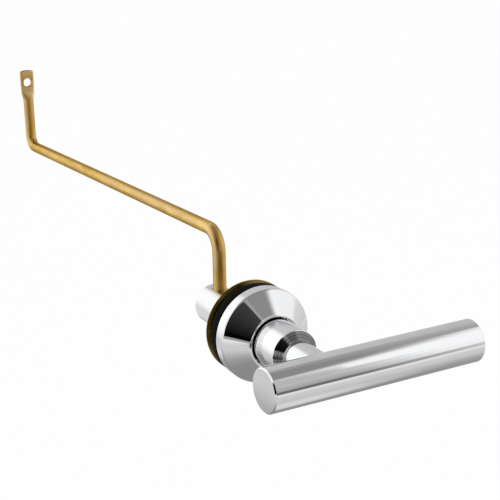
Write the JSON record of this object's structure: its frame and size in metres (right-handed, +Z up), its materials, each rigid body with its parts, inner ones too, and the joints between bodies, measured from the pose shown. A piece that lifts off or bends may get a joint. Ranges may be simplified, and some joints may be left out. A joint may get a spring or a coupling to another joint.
{
  "type": "cistern lever",
  "caption": "Cistern flush lever: chromed bar handle and cone escutcheon clamped through the wall by a gasket, washer and locknut, turning a cranked brass rod arm with a chain eye.",
  "frame": {"origin": "on the stem's axis, at the escutcheon's back face, where the lever meets the cistern wall's gasket", "axes": "+Y along the stem's axis into the cistern, +X towards the handle bar's long end, +Z up"},
  "size_m": [0.084, 0.2957, 0.0795],
  "materials": {
    "chrome": "polished chrome plate on brass",
    "brass": "plain drawn and turned brass",
    "rubber": "moulded black rubber",
    "nylon": "white moulded nylon",
    "steel": "plain stainless steel"
  },
  "bodies": {
    "base": {"escutcheon": "chrome", "bearing_bush": "nylon", "wall_gasket": "rubber"},
    "washer": {"clamp_washer": "brass"},
    "nut": {"locknut": "brass"},
    "lever": {"lever_bar": "chrome", "lever_stem": "chrome", "arm_sleeve": "chrome", "set_screw": "steel"},
    "arm": {"trip_arm": "brass"}
  },
  "joints": [
    {"name": "lever_turn", "type": "hinge", "parent": "base", "child": "lever", "pos_m": [0, 0, 0], "axis": [0, 1, 0], "range_deg": [0, 45]},
    {"name": "arm_swivel", "type": "hinge", "parent": "lever", "child": "arm", "pos_m": [0, 0.0301, 0], "axis": [0, 0, 1], "range_deg": [-90, 90]},
    {"name": "washer_travel", "type": "slide", "parent": "base", "child": "washer", "axis": [0, 1, 0], "range_m": [0, 0.0075]},
    {"name": "locknut_turn", "type": "hinge", "parent": "washer", "child": "nut", "pos_m": [0, 0, 0], "axis": [0, -1, 0], "range_deg": [0, 1800]}
  ],
  "couplings": [
    {"joint": "locknut_turn", "follows": "washer_travel", "rad_per_m": 4188.8}
  ]
}
